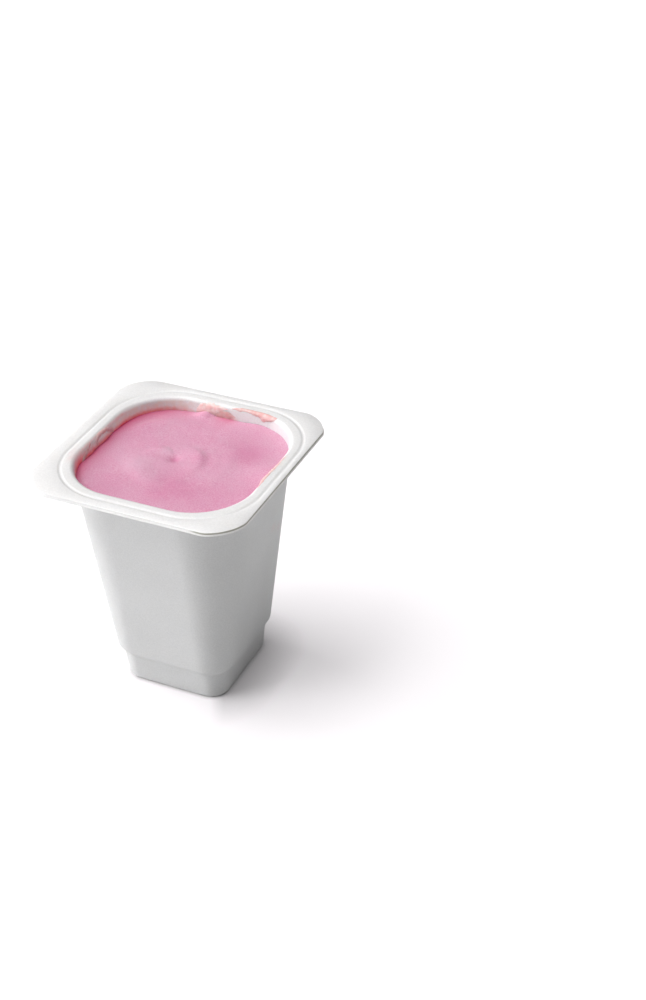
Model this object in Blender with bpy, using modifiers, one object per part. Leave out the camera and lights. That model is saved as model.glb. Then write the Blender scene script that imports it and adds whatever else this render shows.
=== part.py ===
"""Square thermoformed yogurt pot filled with pink yogurt.

The pot is one skin of white polystyrene, drawn down from a flat sheet: the flange keeps the sheet's gauge and the
walls come out thinner. The yogurt is one solid that fills it to just under the rim, with a soft swirl on top.
Sizes are in millimetres and become metres where a mesh is made. The origin lies under the middle of the flange, at
the height of the base, +Z is up and the straight sides lie along X and Y.
"""

import math

import bmesh
import bpy

MM = 0.001

# Pot: driving dimensions
HEIGHT = 68.3
FLANGE_WIDTH = 62.0
BASE_HALF = 15.12
DRAFT = math.radians(7.7)
BASE_CORNER = 10.0
RIM_CORNER = 9.2
SHOULDER_STEP = 1.22
SHOULDER_LOW = 8.7
SHOULDER_HIGH = 11.3
SHEET_GAUGE = 1.0
WALL_GAUGE = 0.5

# The sheet was cut into pots a little off their axis, which stands here in the flange's square
POT_X = 0.87
POT_Y = 0.5

# Pot: edges and relief
LIP_RADIUS = 1.2
FOOT_RADIUS = 1.2
CONTACT_RING_WIDTH = 2.2
BASE_RECESS = 0.8
RECESS_CORNER = 1.4
CORNER_LIFT = 0.1
SEAL_GROOVE_HALF = 28.05
SEAL_GROOVE_CORNER = 10.5
SEAL_GROOVE_DEPTH = 0.2
SEAL_GROOVE_WIDTH = 1.6

# Flange corners, by quadrant (+x+y, -x+y, -x-y, +x-y): cut radius and how far its centre lies in from both edges.
# Where the centre lies in by less than the radius, the cut meets the straight edges at a small kink.
FLANGE_CUTS = [(11.0, 10.6), (9.7, 9.7), (9.7, 9.7), (12.1, 11.6)]

# Yogurt
POT_GAP = 0.3
FILL_DEPTH = 3.6
EDGE_WAVE = 0.25
DOME = 0.6
SWIRL_X = -2.0
SWIRL_Y = 0.9
DIMPLE_DEPTH = 0.55
DIMPLE_RADIUS = 1.4

# Strokes of the swirl: start and end bearing in degrees, start and end distance from its centre, height and width
STROKES = [
    (195.0, 118.0, 8.8, 3.6, 0.25, 1.7),
    (100.0, -62.0, 5.2, 8.6, 0.28, 2.1),
    (182.0, 88.0, 20.5, 17.5, 0.5, 2.6),
    (66.0, -55.0, 15.5, 14.5, 0.3, 2.4),
    (186.0, 290.0, 10.0, 12.0, 0.45, 3.2),
]

# Lumps of yogurt left against the wall above the level: x, y, height and radius
LUMPS = [
    (-5.0, 24.6, 1.4, 2.2),
    (-23.4, 6.5, 0.3, 2.6),
    (-23.4, -1.2, 0.3, 2.2),
    (-22.8, -11.0, 0.3, 3.0),
    (25.0, 4.0, 0.7, 4.5),
    (11.0, 24.6, 0.3, 3.5),
]

# Facets of each section; the surface's rings crowd towards the swirl's centre
CORNER_STEPS = 10
SIDE_STEPS = 4
GROOVE_STEPS = 4
FILLET_STEPS = 4
SHOULDER_STEPS = 6
SURFACE_RINGS = 18
RING_CROWDING = 1.15


def clear_scene():
    for item in list(bpy.data.objects):
        bpy.data.objects.remove(item, do_unlink=True)


def principled(name, colour, roughness, subsurface=0.0):
    material = bpy.data.materials.new(name)
    material.use_nodes = True
    shader = material.node_tree.nodes["Principled BSDF"]
    shader.inputs["Base Color"].default_value = (*colour, 1.0)
    shader.inputs["Roughness"].default_value = roughness
    shader.inputs["Subsurface Weight"].default_value = subsurface
    return material


def smoothstep(t):
    t = min(max(t, 0.0), 1.0)
    return t * t * (3.0 - 2.0 * t)


def section(half, radius, cuts=None):
    """One rounded square as a list of (x, y), anticlockwise from the +x side: four corners and four straight sides.

    cuts gives each corner a cut radius and an inset of its own, for the flange's outline.
    """
    points = []
    for quadrant in range(4):
        cut_radius, inset = cuts[quadrant] if cuts else (radius, radius)
        spare = math.acos(min(inset / cut_radius, 1.0))
        turn = quadrant * math.pi / 2.0
        arc = []
        for step in range(CORNER_STEPS + 1):
            angle = spare + (math.pi / 2.0 - 2.0 * spare) * step / CORNER_STEPS
            arc.append((half - inset + cut_radius * math.cos(angle), half - inset + cut_radius * math.sin(angle)))
        points.append([(x * math.cos(turn) - y * math.sin(turn), x * math.sin(turn) + y * math.cos(turn)) for x, y in arc])
    outline = []
    for quadrant, arc in enumerate(points):
        outline.extend(arc)
        start = arc[-1]
        end = points[(quadrant + 1) % 4][0]
        for step in range(1, SIDE_STEPS):
            share = step / SIDE_STEPS
            outline.append((start[0] + (end[0] - start[0]) * share, start[1] + (end[1] - start[1]) * share))
    return outline


def outer_half(z):
    """Half width of the outside at height z: one draft line, moved out at the shoulder above the foot."""
    shoulder = smoothstep((z - SHOULDER_LOW) / (SHOULDER_HIGH - SHOULDER_LOW))
    return BASE_HALF + z * math.tan(DRAFT) + SHOULDER_STEP * shoulder


def inner_half(z):
    return outer_half(z) - WALL_GAUGE / math.cos(DRAFT)


def corner_centre(z):
    """How far the corners' centres stand from the pot's axis: a little more at the foot than at the rim."""
    return BASE_CORNER + (RIM_CORNER - BASE_CORNER) * z / HEIGHT


def flange_profile():
    """Half width, height and corner centre down the flange's top face: the seal groove, then the lip's round."""
    profile = []
    for step in range(GROOVE_STEPS + 1):
        across = 1.0 - 2.0 * step / GROOVE_STEPS
        depth = SEAL_GROOVE_DEPTH * (0.5 + 0.5 * math.cos(math.pi * across))
        half = SEAL_GROOVE_HALF + across * SEAL_GROOVE_WIDTH / 2.0
        profile.append((half, HEIGHT - depth, SEAL_GROOVE_CORNER))
    centre_z = HEIGHT - LIP_RADIUS
    centre_half = inner_half(centre_z) + LIP_RADIUS / math.cos(DRAFT)
    for step in range(FILLET_STEPS + 1):
        angle = (math.pi / 2.0 - DRAFT) * step / FILLET_STEPS
        half = centre_half - LIP_RADIUS * math.sin(angle)
        profile.append((half, centre_z + LIP_RADIUS * math.cos(angle), RIM_CORNER))
    return profile


def wall_profile():
    """Half width, height and corner centre down the inner wall, over the shoulder and round the foot to the floor."""
    span = SHOULDER_HIGH - SHOULDER_LOW
    heights = [SHOULDER_HIGH - span * step / SHOULDER_STEPS for step in range(SHOULDER_STEPS + 1)]
    profile = [(inner_half(z), z, corner_centre(z)) for z in heights]
    centre_half = BASE_HALF + FOOT_RADIUS * math.tan(DRAFT) - FOOT_RADIUS / math.cos(DRAFT)
    inside = FOOT_RADIUS - WALL_GAUGE
    for step in range(FILLET_STEPS + 1):
        angle = -DRAFT - (math.pi / 2.0 - DRAFT) * step / FILLET_STEPS
        half = centre_half + inside * math.cos(angle)
        profile.append((half, FOOT_RADIUS + inside * math.sin(angle), BASE_CORNER))
    ring_edge = centre_half - CONTACT_RING_WIDTH
    recess_edge = ring_edge - 1.5 * BASE_RECESS
    profile.append((ring_edge, WALL_GAUGE, BASE_CORNER))
    profile.append((recess_edge, WALL_GAUGE + BASE_RECESS, recess_edge - RECESS_CORNER))
    return profile


def corner_lift(x, y, z, corner):
    """The base stands on its straight sides: round the foot's corners the skin stays a touch higher."""
    past_x = max(abs(x) - corner, 0.0)
    past_y = max(abs(y) - corner, 0.0)
    reach = past_x * past_x + past_y * past_y
    diagonal = 2.0 * past_x * past_y / reach if reach > 0.0 else 0.0
    nearness = min(max(1.0 - (z - WALL_GAUGE) / FOOT_RADIUS, 0.0), 1.0)
    return CORNER_LIFT * diagonal * nearness


def pot_section(half, z, corner):
    """A section about the pot's own axis, level but for the foot's corners."""
    return [(POT_X + x, POT_Y + y, z + corner_lift(x, y, z, corner)) for x, y in section(half, half - corner)]


def loft(bm, rings):
    """Joins rings of equal count by quads, each ring to the next, and returns the rings' vertices."""
    made = [[bm.verts.new((x * MM, y * MM, z * MM)) for x, y, z in ring] for ring in rings]
    for ring, following in zip(made, made[1:]):
        for k in range(len(ring)):
            after = (k + 1) % len(ring)
            bm.faces.new((ring[k], ring[after], following[after], following[k]))
    return made


def finish(bm, name, material, collection):
    bmesh.ops.recalc_face_normals(bm, faces=bm.faces)
    mesh = bpy.data.meshes.new(name)
    bm.to_mesh(mesh)
    bm.free()
    mesh.materials.append(material)
    mesh.shade_smooth()
    mesh.set_sharp_from_angle(angle=math.radians(40))
    item = bpy.data.objects.new(name, mesh)
    collection.objects.link(item)
    return item


def make_pot(collection):
    """The whole pot as one open skin, from the flange's cut edge to the middle of the base, given its gauge below."""
    outline = section(FLANGE_WIDTH / 2.0, 0.0, FLANGE_CUTS)
    rings = [[(x, y, HEIGHT) for x, y in outline]]
    gauges = [SHEET_GAUGE]
    flange = flange_profile()
    for half, z, corner in flange:
        rings.append(pot_section(half, z, corner))
        gauges.append(SHEET_GAUGE)
    for half, z, corner in wall_profile():
        rings.append(pot_section(half, z, corner))
        gauges.append(WALL_GAUGE)
    bend = len(flange)
    for step in range(FILLET_STEPS):
        share = (step + 1) / FILLET_STEPS
        gauges[bend - FILLET_STEPS + 1 + step] = SHEET_GAUGE + (WALL_GAUGE - SHEET_GAUGE) * share
    bm = bmesh.new()
    made = loft(bm, rings)
    bm.faces.new(made[-1])
    pot = finish(bm, "pot", principled("white_polystyrene", (0.80, 0.80, 0.80), 0.35), collection)
    if pot.data.polygons[0].normal.z < 0.0:
        pot.data.flip_normals()
    gauge = pot.vertex_groups.new(name="gauge")
    count = len(outline)
    for index, value in enumerate(gauges):
        gauge.add(list(range(index * count, (index + 1) * count)), value / SHEET_GAUGE, "REPLACE")
    solid = pot.modifiers.new("gauge", "SOLIDIFY")
    solid.thickness = SHEET_GAUGE * MM
    solid.offset = -1.0
    solid.use_even_offset = True
    solid.use_quality_normals = True
    solid.vertex_group = gauge.name
    return pot


def edge_height(x, y):
    """Height of the yogurt where it meets the wall: a slow wave round the pot."""
    bearing = math.atan2(y - POT_Y, x - POT_X)
    wave = 0.5 * math.sin(2.0 * bearing + 0.6) + 0.3 * math.sin(5.0 * bearing + 2.0) + 0.2 * math.sin(9.0 * bearing)
    return HEIGHT - FILL_DEPTH + EDGE_WAVE * wave


def lump_height(x, y):
    total = 0.0
    for lump_x, lump_y, height, radius in LUMPS:
        total += height * math.exp(-((x - lump_x) ** 2 + (y - lump_y) ** 2) / (radius * radius))
    return total


def stroke_height(distance, bearing):
    """Relief of the swirl's strokes at a polar place: each is a soft ridge that winds in or out and fades at its ends."""
    total = 0.0
    for start, end, near, far, height, width in STROKES:
        for turn in (-360.0, 0.0, 360.0):
            along = (bearing + turn - start) / (end - start)
            if 0.0 <= along <= 1.0:
                across = (distance - near - (far - near) * along) / width
                fade = math.sin(math.pi * along) ** 0.5
                total += height * fade * math.exp(-across * across)
    return total


def surface_height(x, y, inwards):
    """Height of the yogurt's top; inwards runs from 0 at the wall to 1 at the swirl's centre."""
    edge = edge_height(x, y)
    level = HEIGHT - FILL_DEPTH
    settled = smoothstep(inwards / 0.3)
    dx = x - SWIRL_X
    dy = y - SWIRL_Y
    distance = math.hypot(dx, dy)
    swirl = stroke_height(distance, math.degrees(math.atan2(dy, dx))) * settled
    dimple = DIMPLE_DEPTH * math.exp(-((distance / DIMPLE_RADIUS) ** 2))
    rise = DOME * (1.0 - math.exp(-inwards / 0.15))
    return edge + (level - edge) * settled + rise + swirl - dimple + lump_height(x, y)


def offset_inwards(profile, gap):
    """A profile of (half width, height, corner) moved by gap towards the inside of the pot."""
    moved = []
    for k, (half, z, corner) in enumerate(profile):
        before = profile[max(k - 1, 0)]
        after = profile[min(k + 1, len(profile) - 1)]
        along_half = after[0] - before[0]
        along_z = after[1] - before[1]
        length = math.hypot(along_half, along_z)
        moved.append((half + along_z / length * gap, z - along_half / length * gap, corner))
    return moved


def make_yogurt(collection):
    """The filling: the swirled top, and below it sides and a bottom that follow the pot's inside."""
    level = HEIGHT - FILL_DEPTH
    level_half = inner_half(level) - POT_GAP
    contact = []
    for x, y, _ in pot_section(level_half, level, corner_centre(level)):
        z = surface_height(x, y, 0.0)
        share = (inner_half(z) - POT_GAP) / level_half
        contact.append((POT_X + (x - POT_X) * share, POT_Y + (y - POT_Y) * share, z))
    rings = []
    for ring in range(1, SURFACE_RINGS):
        share = (ring / SURFACE_RINGS) ** RING_CROWDING
        row = []
        for x, y, _ in contact:
            inner_x = SWIRL_X + (x - SWIRL_X) * share
            inner_y = SWIRL_Y + (y - SWIRL_Y) * share
            row.append((inner_x, inner_y, surface_height(inner_x, inner_y, 1.0 - share)))
        rings.append(row)
    rings.append(contact)
    for half, z, corner in offset_inwards(wall_profile(), POT_GAP):
        rings.append(pot_section(half, z, corner))
    bm = bmesh.new()
    made = loft(bm, rings)
    centre = bm.verts.new((SWIRL_X * MM, SWIRL_Y * MM, surface_height(SWIRL_X, SWIRL_Y, 1.0) * MM))
    inner = made[0]
    for k in range(len(inner)):
        bm.faces.new((centre, inner[k], inner[(k + 1) % len(inner)]))
    bm.faces.new(made[-1])
    return finish(bm, "yogurt", principled("fruit_yogurt", (0.68, 0.34, 0.47), 0.4, 0.3), collection)


def main():
    clear_scene()
    collection = bpy.data.collections.new("yogurt_pot")
    bpy.context.scene.collection.children.link(collection)
    make_pot(collection)
    make_yogurt(collection)


main()
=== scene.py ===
"""A square thermoformed yogurt pot, nearly full of pink fruit yogurt, in plain soft light.

Sizes are in millimetres and become metres where a mesh is made. +Z is up and the base stands on z = 0.
"""

import math

import bmesh
import bpy
from mathutils import Matrix, Vector, noise


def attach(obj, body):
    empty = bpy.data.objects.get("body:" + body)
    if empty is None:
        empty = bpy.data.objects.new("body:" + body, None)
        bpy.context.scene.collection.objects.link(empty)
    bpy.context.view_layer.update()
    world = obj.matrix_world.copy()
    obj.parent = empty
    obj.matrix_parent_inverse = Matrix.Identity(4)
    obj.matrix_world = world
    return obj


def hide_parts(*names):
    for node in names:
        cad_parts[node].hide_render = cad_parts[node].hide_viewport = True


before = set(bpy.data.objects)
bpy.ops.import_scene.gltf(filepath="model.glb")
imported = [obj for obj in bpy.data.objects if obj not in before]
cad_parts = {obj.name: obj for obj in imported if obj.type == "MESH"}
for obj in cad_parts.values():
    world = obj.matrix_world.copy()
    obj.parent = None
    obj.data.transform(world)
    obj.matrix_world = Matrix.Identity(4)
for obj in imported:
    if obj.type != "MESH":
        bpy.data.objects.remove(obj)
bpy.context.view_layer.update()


# The pot
# A pot of white polystyrene from a multi-pack. One sheet was heated and drawn into a mould, so the flange
# keeps the sheet's thickness, the walls come out thinner and every edge is round. The flange was pressed with
# a seal groove, then die-cut and snapped off its neighbours, a little off the pot's own axis.

MM = 0.001
HEIGHT = 68.3
FLANGE_HALF = 31.0
POT_AXIS = (0.87, 0.5)
DRAFT = math.radians(7.7)
BASE_HALF = 15.12
SHOULDER_LOW, SHOULDER_HIGH, SHOULDER_STEP = 8.7, 11.3, 1.22
BASE_CORNER, RIM_CORNER = 10.0, 9.2
SHEET_GAUGE, WALL_GAUGE = 1.0, 0.5
LIP_RADIUS, FOOT_RADIUS = 1.2, 1.2
SEAL_HALF, SEAL_CORNER, SEAL_DEPTH, SEAL_WIDTH = 28.05, 10.5, 0.2, 1.6
CONTACT_RING, RECESS, RECESS_CORNER = 2.2, 0.8, 1.4
CREASE_PLACE, CREASE_SIZE, CREASE_DEPTH = (23.3, 8.5, 45.2), (3.0, 3.0, 1.1), 0.4
LEVEL = HEIGHT - 3.6

# Steps of the section's round parts, and its rows on the wall: near the top and below
SEAL_STEPS, LIP_STEPS, SHOULDER_STEPS, FOOT_STEPS, RECESS_STEPS, DIE_STEPS = 12, 12, 14, 8, 6, 40
FINE_ROW, COARSE_ROW, FINE_DEPTH = 0.6, 2.2, 6.0

# The section is swept round a square whose corners lie this far from the axis. A wall stands on the die line,
# from this far below the top and this high, and the cut edge is cast on it from at most this far
CORNER_CENTRE = 9.6
DIE_WALL_BELOW, DIE_WALL_HEIGHT, CAST_REACH = 3.0, 6.0, 20.0

# The cut edge from its top down: depth, and how far it stands back. The blade sheared the upper half upright
# and the rest broke away on a slope
CUT_PROFILE = [
    (0.0, 0.36), (0.05, 0.27), (0.12, 0.24), (0.48, 0.22), (0.6, 0.12), (0.9, 0.0), (0.96, 0.02), (1.0, 0.07),
]

# Die-cut corners by quadrant (+x+y, -x+y, -x-y, +x-y): radius, and how far the centre lies in from both edges
CUT_CORNERS = [(11.0, 10.6), (9.7, 9.7), (9.7, 9.7), (12.1, 11.6)]

# The kinds of node that come most often
MATH = "ShaderNodeMath"
VECTOR = "ShaderNodeVectorMath"
NOISE = "ShaderNodeTexNoise"
RANGE = "ShaderNodeMapRange"
MIX = "ShaderNodeMix"


def linear(code):
    """A colour given as sRGB hex, as linear red, green, blue and alpha."""
    parts = [int(code[k:k + 2], 16) / 255.0 for k in (0, 2, 4)]
    return (*[c / 12.92 if c <= 0.04045 else ((c + 0.055) / 1.055) ** 2.4 for c in parts], 1.0)


def add(tree, kind, sockets=None, **settings):
    """Adds one node: settings are its properties, sockets its inputs, each a value or an output to link."""
    made = tree.nodes.new(kind)
    for name, value in settings.items():
        setattr(made, name, value)
    for key, value in (sockets or {}).items():
        if isinstance(value, bpy.types.NodeSocket):
            tree.links.new(value, made.inputs[key])
        else:
            made.inputs[key].default_value = value
    return made


def cells(size):
    """Noise cells to the metre, for a grain of this many millimetres."""
    return 1.0 / (size * MM)


def principled(name, constants):
    """A material with constant values on its shader's sockets, and its tree."""
    material = bpy.data.materials.new(name)
    material.use_nodes = True
    shader = material.node_tree.nodes["Principled BSDF"]
    for key, value in constants.items():
        shader.inputs[key].default_value = value
    return material, material.node_tree


def dress(tree, colour, rough, bump):
    """Links what varies over the surface to a material's shader."""
    shader = tree.nodes["Principled BSDF"]
    tree.links.new(colour, shader.inputs["Base Color"])
    tree.links.new(rough, shader.inputs["Roughness"])
    tree.links.new(bump, shader.inputs["Normal"])


def store(mesh, **values):
    """Stores one number on each point of a mesh, under each name given."""
    for name, numbers in values.items():
        mesh.attributes.new(name, "FLOAT", "POINT").data.foreach_set("value", numbers)


def smoothstep(t):
    t = min(max(t, 0.0), 1.0)
    return t * t * (3.0 - 2.0 * t)


def outer_half(z):
    """Half width of the outside at a height: one draft line, moved out at the shoulder above the foot."""
    shoulder = smoothstep((z - SHOULDER_LOW) / (SHOULDER_HIGH - SHOULDER_LOW))
    return BASE_HALF + z * math.tan(DRAFT) + SHOULDER_STEP * shoulder


def inner_half(z):
    return outer_half(z) - WALL_GAUGE / math.cos(DRAFT)


def corner_centre(z):
    return BASE_CORNER + (RIM_CORNER - BASE_CORNER) * z / HEIGHT


def inner_skin():
    """The inside's section from the flange down to the base: half width, height, how far the corners' centres
    lie from the axis (the core) and gauge."""
    skin = []
    for step in range(SEAL_STEPS + 1):
        across = 1.0 - 2.0 * step / SEAL_STEPS
        depth = SEAL_DEPTH * (0.5 + 0.5 * math.cos(math.pi * across))
        skin.append((SEAL_HALF + across * SEAL_WIDTH / 2.0, HEIGHT - depth, SEAL_CORNER, SHEET_GAUGE))
    centre_z = HEIGHT - LIP_RADIUS
    centre_half = inner_half(centre_z) + LIP_RADIUS / math.cos(DRAFT)
    for step in range(LIP_STEPS + 1):
        angle = (math.pi / 2.0 - DRAFT) * step / LIP_STEPS
        half = centre_half - LIP_RADIUS * math.sin(angle)
        gauge = SHEET_GAUGE + (WALL_GAUGE - SHEET_GAUGE) * step / LIP_STEPS
        skin.append((half, centre_z + LIP_RADIUS * math.cos(angle), RIM_CORNER, gauge))
    z = centre_z - FINE_ROW
    while z > SHOULDER_HIGH + 0.5:
        skin.append((inner_half(z), z, corner_centre(z), WALL_GAUGE))
        z -= FINE_ROW if z > HEIGHT - FINE_DEPTH else COARSE_ROW
    for step in range(SHOULDER_STEPS + 1):
        z = SHOULDER_HIGH - (SHOULDER_HIGH - SHOULDER_LOW) * step / SHOULDER_STEPS
        skin.append((inner_half(z), z, corner_centre(z), WALL_GAUGE))
    skin.append((inner_half(5.0), 5.0, corner_centre(5.0), WALL_GAUGE))
    centre_half = BASE_HALF + FOOT_RADIUS * math.tan(DRAFT) - FOOT_RADIUS / math.cos(DRAFT)
    inside = FOOT_RADIUS - WALL_GAUGE
    for step in range(FOOT_STEPS + 1):
        angle = -DRAFT - (math.pi / 2.0 - DRAFT) * step / FOOT_STEPS
        half = centre_half + inside * math.cos(angle)
        skin.append((half, FOOT_RADIUS + inside * math.sin(angle), BASE_CORNER, WALL_GAUGE))
    ring_edge = centre_half - CONTACT_RING
    recess_edge = ring_edge - 1.5 * RECESS
    for step in range(RECESS_STEPS + 1):
        share = step / RECESS_STEPS
        half = ring_edge + (recess_edge - ring_edge) * share
        core = BASE_CORNER + (recess_edge - RECESS_CORNER - BASE_CORNER) * share
        skin.append((half, WALL_GAUGE + RECESS * smoothstep(share), core, WALL_GAUGE))
    return skin


def moved_out(skin):
    """A section moved out from the inside, by the gauge at each point."""
    moved = []
    for k, (half, z, core, gauge) in enumerate(skin):
        before = skin[max(k - 1, 0)]
        after = skin[min(k + 1, len(skin) - 1)]
        along_half = after[0] - before[0]
        along_z = after[1] - before[1]
        length = math.hypot(along_half, along_z)
        moved.append((half - along_z / length * gauge, z + along_half / length * gauge, core, gauge))
    return moved


def die_line():
    """The flange's cut outline as (x, y): four corner arcs, some of which meet the straights at a kink."""
    line = []
    for quadrant, (radius, inset) in enumerate(CUT_CORNERS):
        spare = math.acos(min(inset / radius, 1.0))
        for step in range(DIE_STEPS + 1):
            angle = spare + (math.pi / 2.0 - 2.0 * spare) * step / DIE_STEPS
            x = FLANGE_HALF - inset + radius * math.cos(angle)
            y = FLANGE_HALF - inset + radius * math.sin(angle)
            turn = quadrant * math.pi / 2.0
            line.append((x * math.cos(turn) - y * math.sin(turn), x * math.sin(turn) + y * math.cos(turn)))
    return line


def section_mesh():
    """The pot's section as a chain of edges and the die line as a loop, with what the tree reads on them."""
    inner = inner_skin()
    outer = moved_out(inner)
    cut_half = SEAL_HALF + SEAL_WIDTH / 2.0 + 0.4
    chain = [(half, z, core, 0.0, 0.0) for half, z, core, gauge in reversed(inner)]
    for z, shy in CUT_PROFILE:
        chain.append((cut_half, HEIGHT - z, SEAL_CORNER, 1.0, shy))
    chain += [(half, z, core, 0.0, 0.0) for half, z, core, gauge in outer]
    line = die_line()
    points = [(half - CORNER_CENTRE, -z, 0.0) for half, z, core, cut, shy in chain]
    points += [(x, y, HEIGHT - DIE_WALL_BELOW) for x, y in line]
    edges = [(k, k + 1) for k in range(len(chain) - 1)]
    first = len(chain)
    edges += [(first + k, first + (k + 1) % len(line)) for k in range(len(line))]
    mesh = bpy.data.meshes.new("pot_section")
    mesh.from_pydata([[c * MM for c in point] for point in points], edges, [])
    rest = [0.0] * len(line)
    store(
        mesh,
        core=[point[2] * MM for point in chain] + rest,
        cut=[point[3] for point in chain] + rest,
        shy=[point[4] * MM for point in chain] + rest,
        die_line=[0.0] * len(chain) + [1.0] * len(line),
    )
    return mesh


def new_tree(name, inputs):
    """A tree with a geometry in and out, the inputs named and a finish; and what its inputs give."""
    tree = bpy.data.node_groups.new(name, "GeometryNodeTree")
    for way in ("INPUT", "OUTPUT"):
        tree.interface.new_socket("Geometry", in_out=way, socket_type="NodeSocketGeometry")
    for label, kind in {**inputs, "Finish": "Material"}.items():
        tree.interface.new_socket(label, in_out="INPUT", socket_type="NodeSocket" + kind)
    return tree, add(tree, "NodeGroupInput").outputs


def pot_tree():
    """Sweeps the section round a small square whose corners turn on the spot, so that each point of the
    section draws a rounded square; then moves the corners' centres to each height's core, the cut edge out to
    the die line and the crease in."""
    tree, given = new_tree("drawn_pot", {
        "Corner centre": "Float",
        "Corner steps": "Int",
        "Side cuts": "Int",
        "Pot axis": "Vector",
        "Crease place": "Vector",
        "Crease size": "Vector",
        "Crease depth": "Float",
    })

    attribute = {
        name: add(tree, "GeometryNodeInputNamedAttribute", {"Name": name},
                  data_type="FLOAT").outputs["Attribute"]
        for name in ("core", "cut", "shy", "die_line")
    }
    parts = add(tree, "GeometryNodeSeparateGeometry",
                {"Geometry": given["Geometry"], "Selection": attribute["die_line"]}, domain="POINT").outputs
    section = add(tree, "GeometryNodeMeshToCurve", {"Mesh": parts["Inverted"]}).outputs[0]
    lift = add(tree, "ShaderNodeCombineXYZ", {"Z": DIE_WALL_HEIGHT * MM}).outputs[0]
    die_wall = add(tree, "GeometryNodeExtrudeMesh",
                   {"Mesh": parts["Selection"], "Offset": lift}, mode="EDGES").outputs["Mesh"]

    width = add(tree, MATH, {0: given["Corner centre"], 1: 2.0}, operation="MULTIPLY").outputs[0]
    square = add(tree, "GeometryNodeCurvePrimitiveQuadrilateral",
                 {"Width": width, "Height": width}).outputs[0]
    sides = add(tree, "GeometryNodeSubdivideCurve", {"Curve": square, "Cuts": given["Side cuts"]}).outputs[0]
    index = add(tree, "GeometryNodeInputIndex").outputs[0]
    cycle = add(tree, MATH, {0: given["Side cuts"], 1: 1.0}, operation="ADD").outputs[0]
    place = add(tree, MATH, {0: index, 1: cycle}, operation="MODULO").outputs[0]
    corner = add(tree, MATH, {0: place, 1: 0.5}, operation="LESS_THAN").outputs[0]
    radius = add(tree, MATH, {0: corner, 1: 0.001 * MM}, operation="MULTIPLY").outputs[0]
    path = add(tree, "GeometryNodeFilletCurve",
               {"Curve": sides, "Radius": radius, "Count": given["Corner steps"]}, mode="POLY").outputs[0]
    upright = add(tree, "GeometryNodeSetCurveNormal", {"Curve": path}, mode="Z_UP").outputs[0]
    swept = add(tree, "GeometryNodeCurveToMesh", {"Curve": upright, "Profile Curve": section}).outputs[0]

    position = add(tree, "GeometryNodeInputPosition").outputs[0]
    flat = add(tree, VECTOR, {0: position, 1: (1.0, 1.0, 0.0)}, operation="MULTIPLY").outputs[0]
    folded = add(tree, VECTOR, {0: flat}, operation="ABSOLUTE").outputs[0]
    side = add(tree, VECTOR, {0: flat}, operation="SIGN").outputs[0]
    centre = add(tree, "ShaderNodeCombineXYZ",
                 {0: given["Corner centre"], 1: given["Corner centre"]}).outputs[0]
    past = add(tree, VECTOR, {0: folded, 1: centre}, operation="SUBTRACT").outputs[0]
    arm = add(tree, VECTOR, {0: past, 1: (0.0, 0.0, 0.0)}, operation="MAXIMUM").outputs[0]
    reach = add(tree, VECTOR, {0: arm}, operation="LENGTH").outputs["Value"]
    outward = add(tree, VECTOR, {0: arm}, operation="NORMALIZE").outputs[0]
    shift = add(tree, MATH, {0: given["Corner centre"], 1: attribute["core"]},
                operation="SUBTRACT").outputs[0]
    arc = add(tree, MATH, {0: reach, 1: shift}, operation="ADD").outputs[0]
    scale = add(tree, MATH, {0: attribute["core"], 1: given["Corner centre"]}, operation="DIVIDE").outputs[0]
    straight = add(tree, VECTOR, {0: folded, 1: centre}, operation="MINIMUM").outputs[0]
    start = add(tree, VECTOR, {0: straight, "Scale": scale}, operation="SCALE").outputs[0]
    turn = add(tree, VECTOR, {0: outward, "Scale": arc}, operation="SCALE").outputs[0]
    quarter = add(tree, VECTOR, {0: start, 1: turn}, operation="ADD").outputs[0]
    spread = add(tree, VECTOR, {0: quarter, 1: side}, operation="MULTIPLY").outputs[0]
    level = add(tree, VECTOR, {0: position, 1: (0.0, 0.0, 1.0)}, operation="MULTIPLY").outputs[0]
    based = add(tree, VECTOR, {0: spread, 1: level}, operation="ADD").outputs[0]
    moved = add(tree, VECTOR, {0: based, 1: given["Pot axis"]}, operation="ADD").outputs[0]
    away = add(tree, VECTOR, {0: outward, 1: side}, operation="MULTIPLY").outputs[0]
    kept = add(tree, "GeometryNodeStoreNamedAttribute", {"Geometry": swept, "Name": "away", "Value": away},
               data_type="FLOAT_VECTOR", domain="POINT").outputs[0]
    shaped = add(tree, "GeometryNodeSetPosition", {"Geometry": kept, "Position": moved}).outputs[0]

    heading = add(tree, "GeometryNodeInputNamedAttribute", {"Name": "away"},
                  data_type="FLOAT_VECTOR").outputs[0]
    ray = add(tree, "GeometryNodeRaycast",
              {"Target Geometry": die_wall, "Ray Direction": heading, "Ray Length": CAST_REACH * MM}).outputs
    back = add(tree, VECTOR, {0: heading, "Scale": attribute["shy"]}, operation="SCALE").outputs[0]
    edge = add(tree, VECTOR, {0: ray["Hit Position"], 1: back}, operation="SUBTRACT").outputs[0]
    trimmed = add(tree, "GeometryNodeSetPosition",
                  {"Geometry": shaped, "Selection": attribute["cut"], "Position": edge}).outputs[0]

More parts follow.
